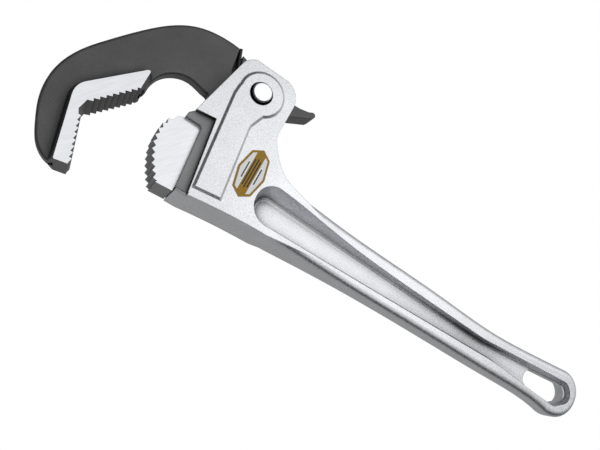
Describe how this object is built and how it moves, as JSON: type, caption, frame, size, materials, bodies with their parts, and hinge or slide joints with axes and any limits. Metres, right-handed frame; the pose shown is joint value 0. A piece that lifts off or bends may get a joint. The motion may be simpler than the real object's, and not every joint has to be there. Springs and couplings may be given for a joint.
{
  "type": "pipe wrench",
  "caption": "Spring-loaded pipe wrench with a pivoting toothed hook jaw, a fixed heel jaw and a recessed cast handle with a hanging hole.",
  "frame": {"origin": "middle of the overall bounding box in X and Y, at the height of the surface that the wrench lies on, back face down", "axes": "+X along the handle from the jaws to its end, +Y from the open side of the jaws towards the pivot, +Z out of the front face, along the pivot pin"},
  "size_m": [0.4597, 0.1388, 0.049],
  "materials": {
    "cast_aluminium": "blasted satin casting",
    "hook_paint": "dark grey paint over forged steel, bare on the ground faces",
    "jaw_steel": "ground",
    "pin_steel": "turned",
    "spring_steel": "blackened",
    "label_gold": "printed foil"
  },
  "bodies": {
    "handle_body": {"handle": "cast_aluminium", "heel_jaw": "jaw_steel", "heel_jaw_pin": "pin_steel", "pivot_pin": "pin_steel", "pivot_pin_ring": "spring_steel", "front_label": "label_gold"},
    "hook_body": {"hook_jaw": "hook_paint", "return_spring": "spring_steel", "thrust_washer_front": "pin_steel", "thrust_washer_back": "pin_steel"}
  },
  "joints": [
    {"name": "jaw_swing", "type": "hinge", "parent": "handle_body", "child": "hook_body", "pos_m": [-0.11627, 0.04019, 0.0243], "axis": [0, 0, -1], "range_deg": [0, 35], "stiffness_Nm_per_rad": 0.9, "springref_deg": -68.75, "deforming": ["return_spring"]}
  ]
}
